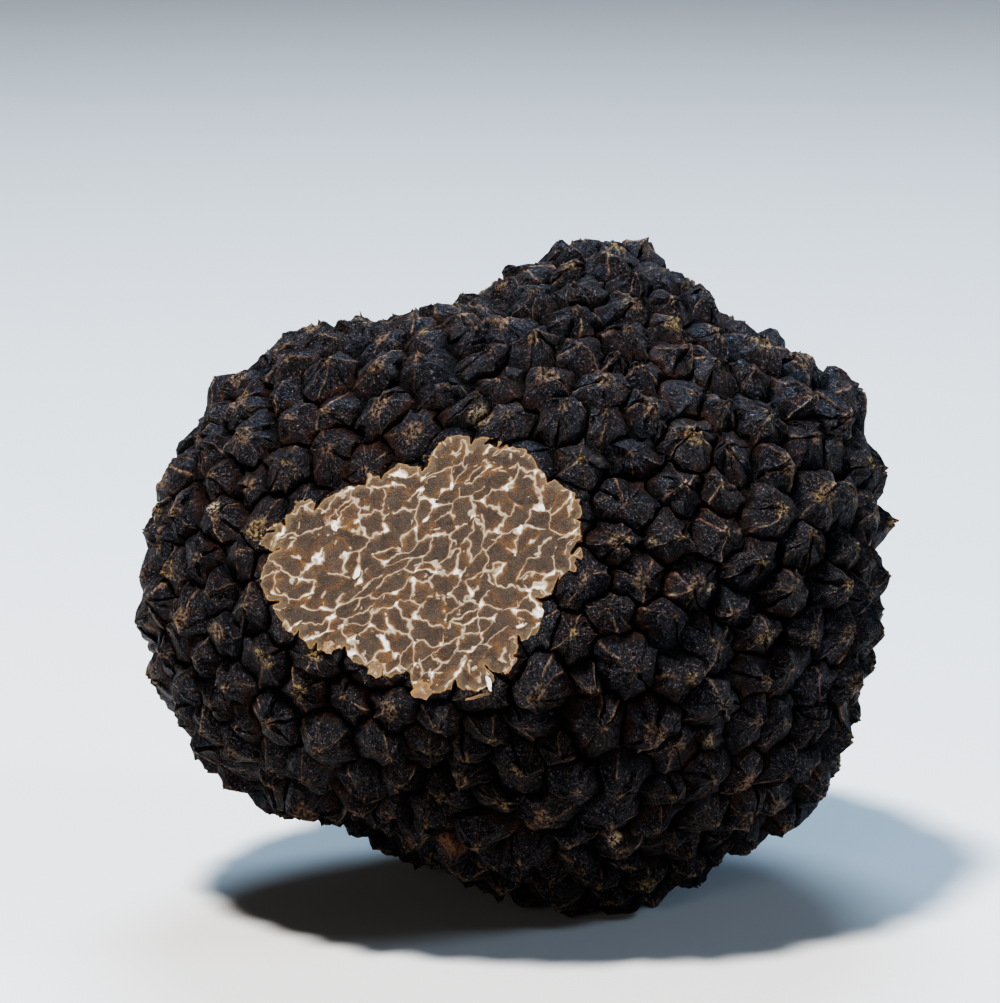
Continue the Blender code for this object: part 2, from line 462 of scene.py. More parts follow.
def rims(net, apexes, rows, corners, rng):
    """Vertices along every border. Gives each wart its ring of them."""
    owner = {}
    for number, (a, b, c) in enumerate(rows):
        owner[a, b] = owner[b, c] = owner[c, a] = number
    corner_verts = [net.add(corner, rng.normal(*CORNER_LEVEL) * MM) for corner in corners]
    borders = {}
    neighbours = [[] for _ in range(WART_COUNT)]
    for i, j in sorted(owner):
        neighbours[i].append(j)
        if i < j:
            first, last = owner[j, i], owner[i, j]
            line = border_line(net, corners[first], corners[last], apexes[j] - apexes[i], rng)
            borders[i, j] = [corner_verts[first], *line, corner_verts[last]]
    return [border_ring(i, near, borders, rows, owner) for i, near in enumerate(neighbours)]


# One wart


def crack_places(facets, count, rng):
    """Spokes that are split open, mostly on ridges."""
    places = []
    for start, steps in facets:
        places.append((start, 1.0))
        if steps >= 6:
            places.append((start + 2 * round(steps / 4), 0.45))
    weights = np.array([weight for _, weight in places])
    wanted = min(count, len(places))
    picked = rng.choice(len(places), wanted, replace=False, p=weights / weights.sum())
    return {places[k][0] for k in picked}


def flat_offsets(apex, rim):
    """The border seen from above: offsets from the apex."""
    outward = apex / np.linalg.norm(apex)
    helper = np.array([0.0, 0.0, 1.0]) if abs(outward[2]) < 0.9 else np.array([1.0, 0.0, 0.0])
    right = np.cross(helper, outward)
    right /= np.linalg.norm(right)
    away = rim - apex
    return np.stack([away @ right, away @ np.cross(outward, right)], 1)


def turn_between(start, end):
    """Angle in degrees from one offset round to another."""
    turn = math.atan2(end[1], end[0]) - math.atan2(start[1], start[0])
    return math.degrees(turn) % 360


def ridge_places(flat, facets, rng):
    """Spokes that are ridges: most corners and a few places between them."""
    places = []
    for start, steps in facets:
        shift = rng.choice((-1, 0, 0, 1)) if steps > 3 else 0
        places.append((start + shift) % len(flat))
        if steps >= 6 and rng.random() < EXTRA_RIDGES:
            places.append(start + steps // 2)
    for place in list(places):
        here = places.index(place)
        before, after = places[here - 1], places[(here + 1) % len(places)]
        wide = turn_between(flat[before], flat[after])
        if len(places) > 4 and wide < WIDEST_FACET and rng.random() < RIDGE_LOSS:
            places.remove(place)
    return places


def facet_falls(flat, ridges, rng):
    """How far the wart falls along each spoke: flat from ridge to ridge."""
    reach = np.linalg.norm(flat, axis=1)
    steep = rng.uniform(*FACET_FALL)
    falls = {k: steep * reach[k] / reach.mean() * rng.uniform(*FALL_SPREAD) for k in ridges}
    fall = np.zeros(len(flat))
    for first, last in zip(ridges, ridges[1:] + ridges[:1]):
        ends = np.stack([flat[first], flat[last]], 1)
        dent = rng.normal(*FACET_DENT)
        steps = (last - first) % len(flat)
        for k in range(steps):
            here = (first + k) % len(flat)
            shares = np.clip(np.linalg.solve(ends, flat[here]), -0.2, 1.6)
            fall[here] = shares @ (falls[first], falls[last])
            fall[here] += dent * min(k, steps - k) * 2 / steps
    return np.clip(fall, 0.15, 1.0)


class Wart:
    """A split, many-sided pyramid, described along each spoke from apex to border."""

    def __init__(self, apex, rim, facets, height, rng):
        size = len(rim)
        self.apex, self.rim, self.height, self.size = apex, rim, height, size
        count = rng.choice(len(CRACK_ODDS), p=CRACK_ODDS)
        self.cracks = crack_places(facets, count, rng)
        flat = flat_offsets(apex, rim)
        ridges = ridge_places(flat, facets, rng)
        self.fall = facet_falls(flat, ridges, rng)
        self.sharpness = np.zeros(size)
        self.sharpness[ridges] = rng.uniform(0.45, 1.0, len(ridges))
        self.shoulder = rng.uniform(*SHOULDER) * rng.uniform(*SHOULDER_SPREAD, size)
        self.split(rng)
        lift = self.sector_lifts(rng)
        self.grain = rng.normal(0, GRAIN, size) * MM
        crest = np.where(self.sharpness > 0, rng.uniform(*RIDGE_CREST, size), 0.0)
        self.raised = crest * (self.depth == 0) + self.lip + lift
        self.ridge = np.maximum(self.sharpness * (self.depth == 0), np.minimum(1.0, 8 * self.lip))

    def split(self, rng):
        """Depth, start and width of each crack, and the lips on both sides of it."""
        self.depth, self.start, self.gape, self.lip = np.zeros((4, self.size))
        for spot in self.cracks:
            self.depth[spot] = rng.uniform(*CRACK_DEPTH)
            self.start[spot] = rng.choice(CRACK_STARTS)
            self.gape[spot] = rng.uniform(*CRACK_GAPE)
            for side in (-1, 1):
                self.lip[(spot + side) % self.size] = rng.uniform(*CRACK_LIP)

    def sector_lifts(self, rng):
        """How far the skin between two cracks stands up or hangs down."""
        lifts = np.zeros(self.size)
        lift = rng.uniform(*WHOLE_LIFT)
        for k in range(self.size):
            if self.depth[k] > 0:
                lift = rng.uniform(*CRACKED_LIFT)
            lifts[k] = lift
        return lifts

    def heights(self, t):
        """Heights over the body at this share of the way out, and how deep it is cut."""
        rise = TIP_GAIN - self.fall * math.hypot(t, TIP_BLUNT) + self.raised * t
        rise = rise * (1 - t**self.shoulder)
        opened = smooth_step(self.start, self.start + 0.18, np.array(t))
        cut = self.depth * opened * (1 - 0.25 * t)
        fine = self.grain * (1 - t**6) * smooth_step(0.1, 0.4, np.array(t))
        return self.height * rise * (1 - cut) + fine, cut

    def places(self, t, half, rng):
        """Places at this share of the way out, drawn towards the cracks beside them."""
        reach = t + rng.normal(0, 0.014, self.size) * (t > 0.4)
        places = self.apex + (self.rim - self.apex) * reach[:, None]
        drawn = places.copy()
        step, most = (2, 0.40) if half else (1, 0.70)
        for spot in self.cracks:
            for side in (-step, step):
                beside = (spot + side) % self.size
                drawn[beside] += (places[spot] - places[beside]) * (most - 0.42 * self.gape[spot])
        return drawn


def add_ring(net, number, wart, t, rng):
    """The vertices of one ring of a wart."""
    half, first, second = t in HALF_RINGS, t == HALF_RINGS[0], t == HALF_RINGS[1]
    wide_tip = 0.5 if second and number % WIDE_TIP_EVERY == 0 else 0.0
    tall, cut = wart.heights(t)
    places = wart.places(t, half, rng)
    verts = []
    for k in range(0, wart.size, 2 if half else 1):
        rough = rng.normal(0, TIP_ROUGH) * wart.height if first else rng.normal(0, FINE_GRAIN) * MM
        marks = {
            "relief": max(0.0, min(1.0, tall[k] / wart.height)),
            "ridge": wart.ridge[k],
            "crack": cut[k],
            "tip": 0.75 * rng.random() if first else wide_tip,
        }
        verts.append(net.add(places[k], tall[k] + rough, number, **marks))
    return verts


def add_wart(net, number, wart, ring, rng):
    """One wart, from its tip to its ring of border vertices."""
    height = wart.height * (TIP_GAIN - TIP_BLUNT * wart.fall.mean() + rng.uniform(*TIP_DROP))
    cracked = 0.6 * float(rng.random() < 0.25)
    tip = net.add(wart.apex, height, number, relief=1.0, tip=1.0, crack=cracked)
    levels = [add_ring(net, number, wart, t, rng) for t in HALF_RINGS + FULL_RINGS]
    add_faces(net, number, tip, levels + [ring])


def add_faces(net, number, tip, levels):
    """A fan at the tip, and strips between rings, also where the spokes double."""
    shares = HALF_RINGS + FULL_RINGS + (1.0,)
    size = len(levels[-1])
    last_half = len(HALF_RINGS) - 1

    def at(level, k):
        """The corner of a face on spoke k of a ring."""
        return levels[level][k % size // (2 if level <= last_half else 1)], k, shares[level]

    for k in range(0, size, 2):
        net.face(number, ((tip, k + 1, 0), at(0, k), at(0, k + 2)))
    for level in range(len(levels) - 1):
        outer = level + 1
        if level == last_half:
            for k in range(0, size, 2):
                first, middle, last = at(level, k), at(outer, k + 1), at(level, k + 2)
                net.face(number, (first, at(outer, k), middle))
                net.face(number, (first, middle, last))
                net.face(number, (last, middle, at(outer, k + 2)))
            continue
        step = 2 if level < last_half else 1
        for k in range(0, size, step):
            g = k + step
            net.face(number, (at(level, k), at(outer, k), at(outer, g), at(level, g)))


def skin_net():
    """The whole skin as a net, before the cuts."""
    rng = np.random.default_rng(SEED)
    seeds, sizes = wart_seeds(rng)
    heights = WART_HEIGHT * sizes * rng.uniform(*HEIGHT_SPREAD, WART_COUNT)
    rows = hull_triangles(seeds)
    corners = wart_corners(seeds, rows)
    spacing = WART_SPACING / BODY_RADII.z
    apexes = seeds.copy()
    for apex in apexes:
        apex += rng.uniform(-1, 1, 3) * APEX_SKEW * spacing
    apexes += rng.normal(0, TIP_WANDER, apexes.shape) * spacing
    net = Net()
    rings = rims(net, apexes, rows, corners, rng)
    for i, (ring, facets) in enumerate(rings):
        rim = np.array([net.raw[v] for v in ring])
        add_wart(net, i, Wart(apexes[i], rim, facets, heights[i], rng), ring, rng)
    return net


# The skin as a mesh


def wobbled(points, shares):
    """The points, moved a little by smooth noise so that no line runs straight."""
    noise.seed_set(SEED)
    moved = []
    for p, share in zip(points, shares):
        v = Vector(p) / MM
        coarse, fine = (
            noise.noise_vector(v * scale + Vector(shift)) * reach
            for scale, reach, shift in WOBBLES
        )
        moved.append((v + (coarse + fine) * share) * MM)
    return np.array(moved)


def skin_places(net):
    """Where the vertices lie: on the body, raised, and kept calm near the slice."""
    ways = unit(np.array(net.raw))
    heights = np.array(net.height)
    ground, outward = skin_points(ways), skin_normals(ways)
    depth = SLICE_DISTANCE - ground @ FACING
    room = SPARED_SHARE * depth / np.clip(outward @ FACING, 0.3, 1)
    heights = np.where(depth > SPARED_DEPTH, np.minimum(heights, room), heights)
    beyond = (ground + outward * heights[:, None]) @ FACING - SLICE_DISTANCE
    share = CLEFT_FILL * smooth_step(*CLEFT_REACH, beyond)
    heights += share * np.clip(CLEFT_FLOOR - heights, 0, None)
    calm = 1 - CALM_SHARE * np.exp(-((beyond / CALM_REACH) ** 2))
    return wobbled(ground + outward * heights[:, None], calm) + np.array(BODY_CENTRE)


def cut_flat(skin, point, way):
    """Takes off what lies beyond a plane, closes it and gives its outline."""
    everything = skin.verts[:] + skin.edges[:] + skin.faces[:]
    done = bmesh.ops.bisect_plane(
        skin, geom=everything, dist=1e-7, plane_co=point, plane_no=way, clear_outer=True
    )
    edges = [e for e in done["geom_cut"] if isinstance(e, bmesh.types.BMEdge)]
    outline = [(e.verts[0].co.copy(), e.verts[1].co.copy()) for e in edges]
    edges = [e for e in edges if len(e.link_faces) == 1]
    bmesh.ops.triangle_fill(skin, edges=edges, use_beauty=True, use_dissolve=False, normal=way)
    return outline


def skin_piece():
    """The skin as a closed mesh, cut flat at the slice and where it rests."""
    net = skin_net()
    tones = np.random.default_rng(SEED + 1).random(WART_COUNT + 1)
    values = {**net.marks, "tone": tones[net.wart]}
    mesh = new_mesh("truffle_skin", skin_places(net), net.faces, values)
    stripe = mesh.attributes.new("stripe", "FLOAT_VECTOR", "CORNER")
    stripe.data.foreach_set("vector", np.array(net.stripe, np.float32).ravel())
    skin = bmesh.new()
    skin.from_mesh(mesh)
    outline = cut_flat(skin, SLICE_CENTRE, SLICE_WAY)
    cut_flat(skin, Vector((0, 0, 0)), DOWN)
    bmesh.ops.recalc_face_normals(skin, faces=skin.faces[:])
    skin.to_mesh(mesh)
    skin.free()
    return add_piece("truffle_skin", mesh, 21), outline


# The flesh


def waves(points, wavelength, count, rng):
    """Smooth noise about 0, from waves in random directions."""
    turns = rng.uniform(0, 2 * math.pi, count)
    lengths = wavelength * rng.uniform(0.7, 1.4, count)
    phases = rng.uniform(0, 2 * math.pi, count)
    ways = np.stack([np.cos(turns), np.sin(turns)]) * (2 * math.pi / lengths)
    return np.sin(points @ ways + phases).sum(1) * math.sqrt(2 / count)


class Network:
    """Cells about a shaken grid, with random numbers for borders and corners."""

    side = 64
    count = side * side

    def __init__(self, spacing, rng):
        self.spacing = spacing
        self.shake = rng.uniform(-0.42, 0.42, (self.side, self.side, 2))
        self.edge, self.edge_too, self.junction, self.cell = rng.random((4, self.count))

    def nearest(self, points):
        """Squared distances, seeds and numbers of each point's three nearest cells."""
        base = np.floor(points / self.spacing).astype(int)
        cells = np.array([base + (dx, dy) for dx in range(-2, 3) for dy in range(-2, 3)])
        i, j = np.moveaxis(cells % self.side, -1, 0)
        seeds = (cells + 0.5 + self.shake[i, j]) * self.spacing
        away = ((points - seeds) ** 2).sum(-1)
        names = i * self.side + j
        rows = np.arange(len(points))
        order = np.argsort(away, axis=0)[:3]
        return [(away[o, rows], seeds[o, rows], names[o, rows]) for o in order]


def border(near, far):
    """Distance to a border between two cells, and its number."""
    gap = np.linalg.norm(far[1] - near[1], axis=1)
    low, high = np.minimum(near[2], far[2]), np.maximum(near[2], far[2])
    return (far[0] - near[0]) / (2 * gap), (low * 733 + high * 151) % Network.count


def corner_number(a, b, c):
    """The same number for three cells in any order."""
    return (a * 61 + b * 61 + c * 61 + (a ^ b ^ c) * 17) % Network.count


def veins(points, network, rule, wiggle):
    """How far inside a vein each point is, in mm, how far off the nearest border is, how far
    inside a white knot it is, and its cell."""
    bare, (thin, thick), knotted = rule
    a, b, c = network.nearest(points)
    corner_away = np.hypot(border(a, b)[0], border(a, c)[0])
    roll = network.junction[corner_number(a[2], b[2], c[2])]
    knot = np.where(roll < knotted, KNOT_SIZE[0] + KNOT_SIZE[1] * roll / knotted, 0.0)
    best = np.full(len(points), -FAR)
    nearest = np.full(len(points), FAR)
    for other in (b, c):
        away, name = border(a, other)
        chance, kind = network.edge[name], network.edge_too[name]
        width = (thin + (thick - thin) * kind) * (1 + 0.22 * wiggle)
        taper = KNOT_TAPER * np.where(kind > 0.45, 1.0, 0.2) * (roll < knotted)
        width = width + taper * np.exp(-corner_away / TAPER_REACH)
        broken = width - BROKEN_DEPTH * smooth_step(0.5, -0.3, wiggle)
        width = np.where(chance < bare + BROKEN_SHARE, broken, width)
        width = np.where(chance < bare, NO_VEIN, width)
        best = np.maximum(best, width - away)
        nearest = np.minimum(nearest, np.where(chance < bare, FAR, away))
    blob = np.where(knot > 0, knot - 0.75 * corner_away + 0.03 * wiggle, -1.0)
    return np.maximum(best, blob), nearest, blob, a[2]


def bent(points, rng):
    """The same points, moved by waves of several lengths."""
    bend = np.zeros_like(points)
    for wavelength, count, reach in BENDS:
        shifts = [waves(points, wavelength, count, rng) for _ in range(2)]
        bend += np.stack(shifts, 1) * reach
    return points + bend


def flesh_fields(points):
    """Vein depth in mm, ochre halo, cell tone and fine wiggle of each point."""
    rng = np.random.default_rng(FLESH_SEED)
    angle = math.radians(VEIN_ANGLE)
    along = np.array([math.cos(angle), math.sin(angle)])
    moved = bent(points, rng)
    stretched = moved - np.outer((moved @ along) * (1 - 1 / VEIN_STRETCH), along)
    wiggle = 0.75 * waves(points, 1.9, 14, rng) + 0.45 * waves(points, 0.75, 14, rng)
    main = Network(VEIN_SPACING / math.sqrt(VEIN_STRETCH), rng)
    vein, away, blob, cell = veins(stretched, main, VEINS, wiggle)
    twig_wiggle = waves(points, 1.2, 14, rng)
    twig = veins(moved + TWIG_SHIFT, Network(TWIG_SPACING, rng), TWIGS, twig_wiggle)[0]
    vein = np.maximum(vein, np.minimum(twig, 0.07) - 0.25 * smooth_step(0.3, 0.8, away))
    warm = smooth_step(0.35, 0.85, np.roll(main.cell, 7)[cell])
    reach = 0.13 + 0.20 * warm * smooth_step(-1.0, 1.2, waves(points, 2.2, 9, rng))
    halo = (0.62 + 0.38 * warm) * np.exp(-np.clip(away, 0, FAR) / reach)
    halo += 0.8 * np.exp(-np.clip(-blob, 0, FAR) / 0.24) * (blob > -1.0)
    return vein, np.clip(halo, 0, 1), main.cell[cell], wiggle


def on_slice(spots, lifts):
    """Places from spots on the slice and lifts above it, in millimetres."""
    flat = spots[:, :1] * RIGHT + spots[:, 1:] * UP
    return np.array(SLICE_CENTRE) + MM * (flat + lifts[:, None] * FACING)


def outline_rows(edges):
    """Both ends of every edge of the outline, in millimetres on the slice."""
    rows = [[end - SLICE_CENTRE for end in edge] for edge in edges]
    return np.array([[(v.dot(RIGHT) / MM, v.dot(UP) / MM) for v in row] for row in rows])


def inside_and_away(points, rows):
    """Which points are inside the outline, and how far each one is from it."""
    crossings = np.zeros(len(points), int)
    away = np.full(len(points), 99.0)
    x, y = points[:, 0], points[:, 1]
    for (ax, ay), (bx, by) in rows:
        dx, dy = bx - ax, by - ay
        if dy:
            level = (ay > y) != (by > y)
            crossings += level & (x < dx * (y - ay) / dy + ax)
        t = np.clip(((x - ax) * dx + (y - ay) * dy) / max(dx * dx + dy * dy, 1e-12), 0, 1)
        away = np.minimum(away, np.hypot(x - ax - t * dx, y - ay - t * dy))
    return crossings % 2 == 1, away


def hexagon_grid(low, high, step):
    """Points of a grid of equal triangles between two corners."""
    rows = np.arange(low[1], high[1], step * math.sqrt(3) / 2)
    columns = np.arange(low[0], high[0], step)
    x, y = np.meshgrid(columns, rows)
    x = x + (np.arange(len(rows)) % 2 * step / 2)[:, None]
    return np.stack([x.ravel(), y.ravel()], 1)


def numbered(rows):
    """The outline's points, each once, and its edges as pairs of their numbers."""
    names = {}
    for end in rows.reshape(-1, 2):
        names.setdefault(tuple(np.round(end, 5)), len(names))
    edges = [tuple(names[tuple(np.round(end, 5))] for end in row) for row in rows]
    return np.array(list(names)), edges


def filling(points, edges):
    """Triangles that fill the outline, all facing up."""
    # Type 4 fills the inside of the outline and leaves its holes open
    done = geometry.delaunay_2d_cdt([Vector(p) for p in points], edges, [], 4, 1e-6)
    origins = [min(owners) if owners else -1 for owners in done[3]]
    faces = []
    for face in done[2]:
        a, b, c = (origins[v] for v in face)
        (x, y), (u, v) = points[b] - points[a], points[c] - points[a]
        faces.append((a, b, c) if x * v > y * u else (a, c, b))
    return faces


def wall(faces, edges, base):
    """The narrow side of the plate, turned to suit the front faces."""
    wanted = {frozenset(e) for e in edges}
    sides = []
    for face in faces:
        for a, b in zip(face, face[1:] + face[:1]):
            if frozenset((a, b)) in wanted:
                sides.append((b, a, base + a, base + b))
    return sides


def flesh_piece(outline):
    """The flesh: a thin closed plate that fills the slice, its veins kept as values."""
    rows = outline_rows(outline)
    grid = hexagon_grid(rows.min((0, 1)), rows.max((0, 1)), FLESH_STEP)
    inside, away = inside_and_away(grid, rows)
    rim, edges = numbered(rows)
    flat = np.concatenate([rim, grid[inside & (away > 0.55 * FLESH_STEP)]])
    away = inside_and_away(flat, rows)[1]
    vein, halo, tone, wiggle = flesh_fields(flat)
    rise = PLATE_FRONT + 0.012 * wiggle + 0.03 * smooth_step(-0.05, 0.08, vein)
    rise -= 0.05 * smooth_step(0.25, 0.0, away)
    sunk = np.full(len(rim), PLATE_BACK)
    places = np.concatenate([on_slice(flat, rise), on_slice(rim * 0.999, sunk)])
    base = len(flat)
    front = filling(flat, edges)
    back = [tuple(base + v for v in face[::-1]) for face in filling(rim, edges)]
    faces = front + back + wall(front, edges, base)
    values = {"vein": vein, "halo": halo, "cell": tone, "rim": away}
    values = {name: [*numbers, *np.zeros(len(rim))] for name, numbers in values.items()}
    return add_piece("truffle_flesh", new_mesh("truffle_flesh", places, faces, values), 60)


# Torn flakes


class Flakes:
    """Small uneven closed plates, all in one mesh."""

    def __init__(self, rng):
        self.rng = rng
        self.places, self.faces, self.white, self.edge = [], [], [], []

    def ring(self, spots, lifts, stand, white, share):
        """Vertices at this share of the way out. Gives their numbers."""
        centre, across, down, out = stand
        first = len(self.places)
        for (x, y), lift in zip(spots, lifts):
            self.places.append(centre + MM * (x * across + y * down + lift * out))
            self.white.append(white - 0.09 * share + self.rng.normal(0, 0.03))
            self.edge.append(0.34 - 0.26 * share**2 + self.rng.normal(0, 0.03))
        return list(range(first, len(self.places)))

    def add(self, stand, width, height, curl, white):
        """One plate about a centre, its outer side curled up."""
        turns = np.arange(FLAKE_CORNERS) * 2 * math.pi / FLAKE_CORNERS
        reach = 1 + self.rng.uniform(-0.30, 0.20, FLAKE_CORNERS)
        rim = np.stack([np.cos(turns) * width / 2, np.sin(turns) * height / 2], 1)
        rim = rim * reach[:, None]
        rough = self.rng.normal(0, FLAKE_ROUGH, (len(FLAKE_RINGS), FLAKE_CORNERS))

        def ring(thick, share, bumps):
            spots = rim[:1] * 0 if share == 0 else rim * share
            lifts = curl * np.clip(spots[:, 1] / height + 0.3, 0, 1) ** 1.5
            lifts = lifts + bumps[: len(spots)] + thick * (1 - 0.7 * share)
            return self.ring(spots, lifts, stand, white, share)

        top, bottom = (
            [ring(thick, *level) for level in zip(FLAKE_RINGS, rough)]
            for thick in (FLAKE_HALF, -FLAKE_HALF)
        )
        following = [(k, (k + 1) % FLAKE_CORNERS) for k in range(FLAKE_CORNERS)]
        for (middle, inner, outer), turned in ((top, 1), (bottom, -1)):
            for k, g in following:
                self.faces.append((middle[0], inner[k], inner[g])[::turned])
                self.faces.append((inner[k], outer[k], outer[g], inner[g])[::turned])
        upper, lower = top[-1], bottom[-1]
        self.faces.extend((upper[k], lower[k], lower[g], upper[g]) for k, g in following)


def edge_spot(rows, angle):
    """The outline's farthest point near this angle, in mm on the slice."""
    ends = rows[:, 0]
    off = (np.degrees(np.arctan2(ends[:, 1], ends[:, 0])) - angle + 180) % 360 - 180
    near = ends[np.abs(off) < 4]
    return near[np.argmax(np.hypot(near[:, 0], near[:, 1]))]


def flakes_piece(outline):
    """Torn bits along the slice's edge, with the same values as the flesh."""
    flakes = Flakes(np.random.default_rng(FLESH_SEED + 1))
    rows = outline_rows(outline)
    for angle, past, width, height, curl, white in EDGE_FLAKES.values():
        spot = edge_spot(rows, angle)
        away = spot / np.hypot(*spot)
        spot = spot + away * (past - 0.3 * height)
        down = away[0] * RIGHT + away[1] * UP
        centre = on_slice(spot[None], np.array([FLAKE_LIFT]))[0]
        stand = (centre, np.cross(down, FACING), down, FACING)
        flakes.add(stand, width, height, curl, white)
    count = len(flakes.places)
    values = {"vein": flakes.white, "halo": [0.8] * count, "cell": [0.9] * count, "rim": flakes.edge}
    mesh = new_mesh("truffle_flakes", flakes.places, flakes.faces, values)
    shape = bmesh.new()
    shape.from_mesh(mesh)
    bmesh.ops.recalc_face_normals(shape, faces=shape.faces[:])
    shape.to_mesh(mesh)
    shape.free()
    return add_piece("truffle_flakes", mesh, 40)


# Materials


class Shader:
    """A material's nodes, built up a step at a time."""

    def __init__(self, name, colours):
        self.colours = colours
        self.paint = bpy.data.materials.new(name)
        self.paint.use_nodes = True
        self.tree = self.paint.node_tree
        self.surface = self.tree.nodes["Principled BSDF"].inputs

    def put(self, socket, value):
        """Sets a socket to a number, vector or named colour, or links it to an output."""
        if isinstance(value, bpy.types.NodeSocket):
            self.tree.links.new(value, socket)
        else:
            socket.default_value = (*self.colours[value], 1) if socket.type == "RGBA" else value

    def node(self, kind, inputs, output=0, **settings):
        """Adds a node with its settings and inputs, and gives one of its outputs."""
        made = self.tree.nodes.new("ShaderNode" + kind)
        for name, value in settings.items():
            setattr(made, name, value)
        for name, value in inputs.items():
            self.put(made.inputs[name], value)
        return made.outputs[output]

    def times(self, a, b, operation="MULTIPLY"):
        return self.node("Math", {0: a, 1: b}, operation=operation)

    def plus(self, a, b):
        return self.times(a, b, "ADD")

    def larger(self, a, b):
        return self.times(a, b, "MAXIMUM")

    def ramp(self, value, low, high, bottom=0.0, top=1.0):
        """bottom at low, top at high, and a smooth rise between them."""
        inputs = dict(enumerate((value, low, high, bottom, top)))
        return self.node("MapRange", inputs, interpolation_type="SMOOTHSTEP")

    def mix(self, share, under, over):
        """One colour under another, which covers this share of it."""
        # Inputs 6 and 7 and output 2 are the node's colours
        return self.node("Mix", {0: share, 6: under, 7: over}, 2, data_type="RGBA")

    def laid(self, under, name, share, *masks):
        """A named colour over another, as far as both masks let it and at most this share."""
        return self.mix(self.times(self.times(*masks), share), under, name)

    def attribute(self, name, output="Fac"):
        return self.node("Attribute", {}, output, attribute_name=name)

    def fields(self, *names):
        """The mesh's own values, by name."""
        return SimpleNamespace(**{name: self.attribute(name) for name in names})

    def scaled(self, vector, scale):
        return self.node("VectorMath", {0: vector, 1: scale}, operation="MULTIPLY")

    def place(self):
        """Where a point is, in millimetres."""
        return self.scaled(self.node("TexCoord", {}, "Object"), [1 / MM] * 3)

    def nearness(self, vector, spot, reach):
        """1 near the spot, falling to 0 at its reach."""
        away = self.node("VectorMath", {0: vector, 1: spot}, "Value", operation="DISTANCE")
        return self.ramp(away, reach, 0.4 * reach)

    def noise(self, *values):
        """Smooth noise from vector, scale, detail, roughness and, if any, distortion."""
        names = ("Vector", "Scale", "Detail", "Roughness", "Distortion")
        return self.node("TexNoise", dict(zip(names, values)), "Fac")

    def cells(self, vector, scale):
        """Distance to the middle of the nearest cell."""
        return self.node("TexVoronoi", {"Vector": vector, "Scale": scale}, "Distance")

    def finished(self, colour, roughness, specular, height, depth):
        """The material, with these looks on its surface."""
        self.put(self.surface["Base Color"], colour)
        self.put(self.surface["Roughness"], roughness)
        self.put(self.surface["Specular IOR Level"], specular)
        self.put(self.surface["Normal"], self.node("Bump", {"Height": height, "Distance": depth}))
        return self.paint


def flesh_cells(m, at):
    """Brown cells, each with its own tone, ochre near veins, grainy all over."""
    tone = m.plus(m.times(at.cell, 0.45), m.ramp(at.cloud, 0.3, 0.7, 0.0, 0.55))
    colour = m.mix(tone, "dark_cell", "light_cell")
    ochre = m.times(at.halo, m.ramp(at.cloud, 0.25, 0.55, 0.55, 1.0))
    colour = m.mix(m.times(ochre, 0.95), colour, "ochre")
    colour = m.mix(m.ramp(at.grain, 0.52, 0.70, 0.0, 0.5), colour, "light_grain")
    colour = m.mix(m.ramp(at.grain, 0.48, 0.32, 0.0, 0.7), colour, "dark_grain")
    glassy = m.plus(at.rim, m.ramp(at.cloud, 0.3, 0.7, -0.45, 0.35))
    return m.mix(m.ramp(glassy, 0.75, 0.25, 0.0, 0.75), colour, "glassy")


def flesh_veins(m, at, colour):
    """Pale veins over the cells, whitest in the middle, with a soft side."""
    colour = m.mix(m.ramp(at.vein, -0.16, 0.0, 0.0, 0.5), colour, "vein_side")
    pale = m.mix(m.ramp(at.vein, 0.05, 0.14), "vein", "white")
    return m.mix(m.ramp(at.vein, -0.045, 0.03), colour, pale)


def flesh_edge(m, at, colour):
    """Small pale flecks, and a golden edge that ends in a thin dark rind."""
    colour = m.mix(m.ramp(at.flecks, 0.60, 0.72, 0.0, 0.35), colour, "fleck")
    golden = m.plus(at.rim, m.ramp(at.cloud, 0.3, 0.7, -0.14, 0.14))
    colour = m.mix(m.ramp(golden, 0.24, 0.06, 0.0, 0.75), colour, "golden")
    return m.mix(m.ramp(golden, 0.08, 0.0, 0.0, 0.95), colour, "rind")


def flesh_material():
    """Marbled flesh: grainy brown cells, pale veins and a golden edge."""
    m = Shader("flesh", FLESH)
    at = m.fields("vein", "halo", "cell", "rim")
    place = m.place()
    at.grain = m.noise(place, 8.0, 2, 0.8)
    at.flecks = m.noise(place, 14.0, 1, 0.5)
    at.cloud = m.noise(place, 1.0, 3, 0.6)
    colour = flesh_edge(m, at, flesh_veins(m, at, flesh_cells(m, at)))
    roughness = m.ramp(at.grain, 0.3, 0.7, 0.40, 0.62)
    height = m.plus(at.grain, m.ramp(at.vein, -0.05, 0.05, 0.0, 0.5))
    return m.finished(colour, roughness, 0.4, height, FLESH_BUMP)


def skin_fields(m):
    """What the looks depend on: the mesh's own values, and noise at several scales."""
    at = m.fields("relief", "ridge", "crack", "tip", "tone")
    stripe = m.attribute("stripe", "Vector")
    at.place = m.place()
    at.along = m.noise(m.scaled(stripe, (2.6, 0.7, 40)), 1.0, 3, 0.6)
    at.across = m.noise(m.scaled(stripe, (0.8, 5.5, 40)), 1.0, 2, 0.6, 0.6)
    at.blotch = m.noise(at.place, 0.8, 4, 0.65)
    at.patch = m.noise(at.place, 0.16, 2, 0.55)
    # Noise for fine grit in the bump and the masks, and for where the painted glints lie.
    at.grit = m.noise(at.place, 3.4, 4, 0.75)
    at.fleck = m.noise(at.place, 6.0, 2, 0.8)
    worn = m.times(m.ramp(at.ridge, 0.46, 0.94), m.ramp(at.grit, 0.34, 0.54))
    at.worn = m.times(worn, m.ramp(at.patch, 0.35, 0.6, 0.65, 1.0))
    return at


